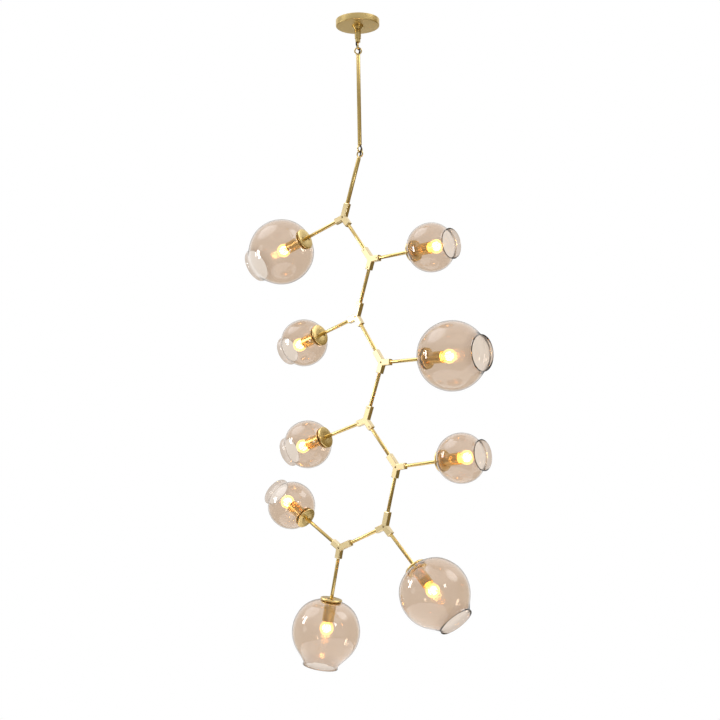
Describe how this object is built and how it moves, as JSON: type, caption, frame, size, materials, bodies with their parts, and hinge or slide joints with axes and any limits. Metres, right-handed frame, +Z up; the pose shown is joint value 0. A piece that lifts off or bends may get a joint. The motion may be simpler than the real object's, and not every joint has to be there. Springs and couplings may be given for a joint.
{
  "type": "branching ceiling light with glass shades",
  "caption": "Ceiling light with a round canopy, a hinged down rod and a zigzag chain of Y hubs and rods with open blown-glass globe shades",
  "frame": {"origin": "on the ceiling plane, in the middle of the bracket's centre hole, with +Z up and the hub faces along -Y", "axes": "+X to the right, in the mean plane of the chain of hubs; +Y to the back of the hubs; +Z up, out of the ceiling face"},
  "size_m": [0.8362, 0.2329, 1.917],
  "materials": {
    "brass": "satin",
    "bracket_steel": "satin",
    "glass": "gloss",
    "bulb_glass": "gloss"
  },
  "bodies": {
    "mount": {"canopy_cup": "brass", "ceiling_bracket": "bracket_steel", "threaded_nipple": "brass", "nipple_nuts": "brass", "canopy_collar": "brass"},
    "swivel": {"swivel_neck": "brass", "canopy_loop": "brass"},
    "stem": {"down_rod": "brass"},
    "drop": {"drop_rod": "brass"},
    "hub_1_body": {"hub_1": "brass", "link_rod_1": "brass", "arm_rod_1": "brass", "lampholder_1": "brass", "bulb_1": "bulb_glass", "shade_1": "glass"},
    "hub_2_body": {"hub_2": "brass", "link_rod_2": "brass", "arm_rod_2": "brass", "lampholder_2": "brass", "bulb_2": "bulb_glass", "shade_2": "glass"},
    "hub_3_body": {"hub_3": "brass", "link_rod_3": "brass", "arm_rod_3": "brass", "lampholder_3": "brass", "bulb_3": "bulb_glass", "shade_3": "glass"},
    "hub_4_body": {"hub_4": "brass", "link_rod_4": "brass", "arm_rod_4": "brass", "lampholder_4": "brass", "bulb_4": "bulb_glass", "shade_4": "glass"},
    "hub_5_body": {"hub_5": "brass", "link_rod_5": "brass", "arm_rod_5": "brass", "lampholder_5": "brass", "bulb_5": "bulb_glass", "shade_5": "glass"},
    "hub_6_body": {"hub_6": "brass", "link_rod_6": "brass", "arm_rod_6": "brass", "lampholder_6": "brass", "bulb_6": "bulb_glass", "shade_6": "glass"},
    "hub_7_body": {"hub_7": "brass", "link_rod_7": "brass", "arm_rod_7": "brass", "lampholder_7": "brass", "bulb_7": "bulb_glass", "shade_7": "glass"},
    "hub_8_body": {"hub_8": "brass", "arm_rod_8": "brass", "lampholder_8": "brass", "bulb_8": "bulb_glass", "shade_8": "glass", "arm_rod_9": "brass", "lampholder_9": "brass", "bulb_9": "bulb_glass", "shade_9": "glass"}
  },
  "joints": [
    {"name": "canopy_swivel", "type": "hinge", "parent": "mount", "child": "swivel", "pos_m": [0, 0, -0.04], "axis": [0, 0, 1], "range_deg": [-170, 170]},
    {"name": "loop_swing", "type": "hinge", "parent": "swivel", "child": "stem", "pos_m": [0, 0, -0.0957], "axis": [0.6129, -0.7902, 0], "range_deg": [-30, 30]},
    {"name": "drop_swing", "type": "hinge", "parent": "stem", "child": "drop", "pos_m": [0, 0, -0.4129], "axis": [0, 1, 0], "range_deg": [-30, 30]},
    {"name": "hub_1_twist", "type": "hinge", "parent": "drop", "child": "hub_1_body", "pos_m": [-0.04997, -0.00552, -0.5689], "axis": [-0.3049, -0.0337, -0.9518], "range_deg": [-45, 45]},
    {"name": "hub_2_twist", "type": "hinge", "parent": "hub_1_body", "child": "hub_2_body", "pos_m": [0.02363, -0.00702, -0.71378], "axis": [0.5796, -0.0034, -0.8149], "range_deg": [-45, 45]},
    {"name": "hub_3_twist", "type": "hinge", "parent": "hub_2_body", "child": "hub_3_body", "pos_m": [-0.01023, -0.0024, -0.87138], "axis": [-0.359, 0.033, -0.9328], "range_deg": [-45, 45]},
    {"name": "hub_4_twist", "type": "hinge", "parent": "hub_3_body", "child": "hub_4_body", "pos_m": [0.05624, -0.00467, -1.01937], "axis": [0.5411, -0.0228, -0.8407], "range_deg": [-45, 45]},
    {"name": "hub_5_twist", "type": "hinge", "parent": "hub_4_body", "child": "hub_5_body", "pos_m": [0.02103, -0.00526, -1.17775], "axis": [-0.3604, 0.0007, -0.9328], "range_deg": [-45, 45]},
    {"name": "hub_6_twist", "type": "hinge", "parent": "hub_5_body", "child": "hub_6_body", "pos_m": [0.09353, 0.00086, -1.32149], "axis": [0.5836, 0.0427, -0.8109], "range_deg": [-45, 45]},
    {"name": "hub_7_twist", "type": "hinge", "parent": "hub_6_body", "child": "hub_7_body", "pos_m": [0.06838, 0.0078, -1.48192], "axis": [-0.2989, 0.0396, -0.9535], "range_deg": [-45, 45]},
    {"name": "hub_8_twist", "type": "hinge", "parent": "hub_7_body", "child": "hub_8_body", "pos_m": [-0.07617, 0.00864, -1.55519], "axis": [-0.9498, -0.0025, -0.3129], "range_deg": [-45, 45]}
  ]
}
